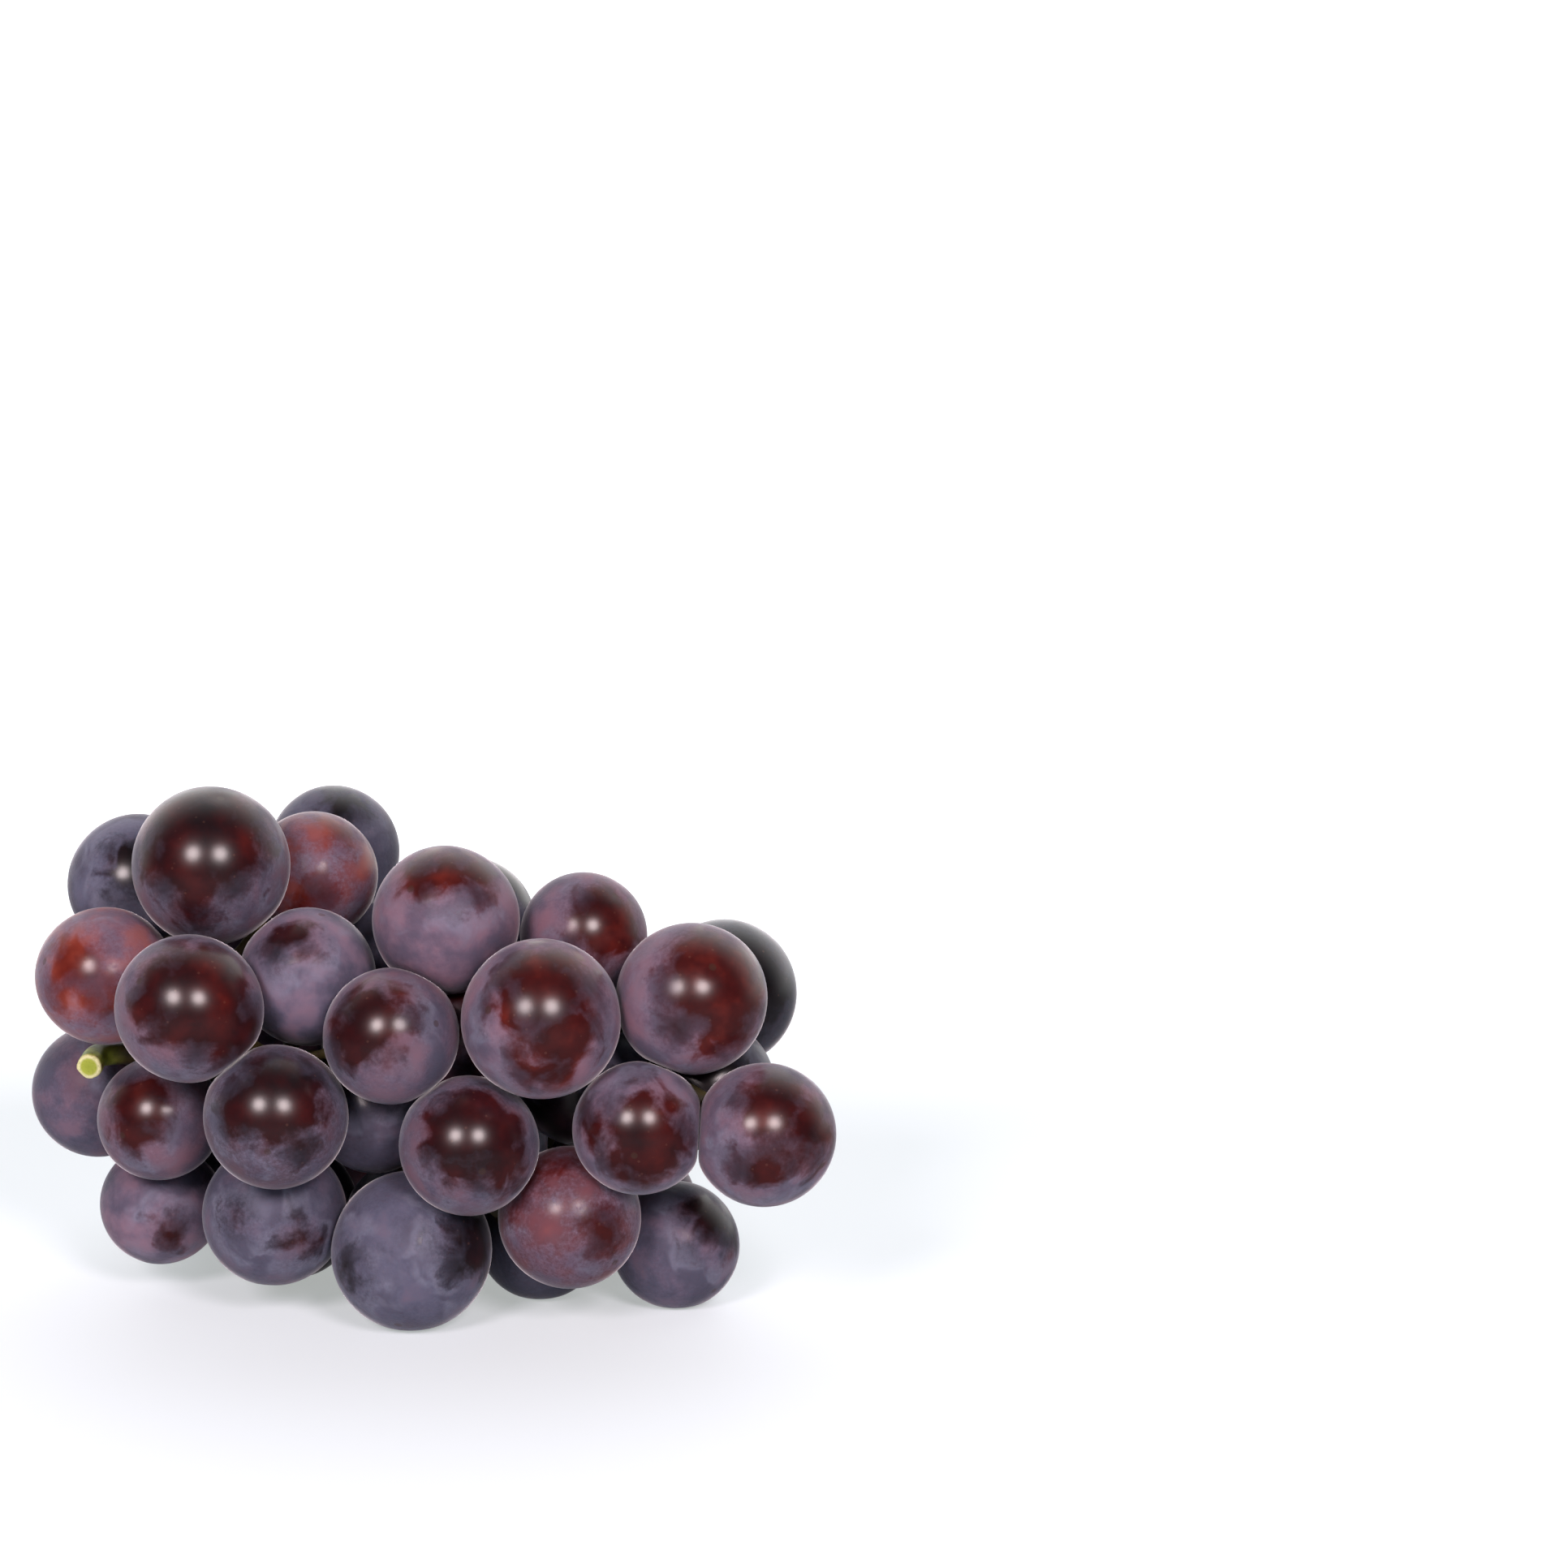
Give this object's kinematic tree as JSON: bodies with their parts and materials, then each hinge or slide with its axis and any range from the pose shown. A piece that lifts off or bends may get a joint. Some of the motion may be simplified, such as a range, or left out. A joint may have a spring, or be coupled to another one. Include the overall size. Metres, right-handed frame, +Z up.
{
  "type": "bunch of grapes",
  "caption": "Small compact bunch of round, dark, bloomy table grapes as picked, lying on its side with its green cut stem end at one side.",
  "frame": {"origin": "on the surface that the bunch lies on, below the middle of its bounding box", "axes": "+X from the cut end of the stem towards the tip of the bunch, +Y away from the near side that the picture shows, +Z up"},
  "size_m": [0.1104, 0.074, 0.0709],
  "materials": {
    "berry_skin": "thin glossy grape skin, dark maroon to blue-black, under a cloudy grey-violet wax bloom that is rubbed off in patches",
    "green_stem": "fresh green to straw-brown grape stem, finely ridged, with a pale freshly cut end"
  },
  "bodies": {
    "root": {"stem": "green_stem", "spray_1": "berry_skin", "spray_2": "berry_skin", "spray_3": "berry_skin", "spray_4": "berry_skin", "spray_5": "berry_skin", "spray_6": "berry_skin", "spray_7": "berry_skin", "spray_8": "berry_skin"}
  },
  "joints": []
}
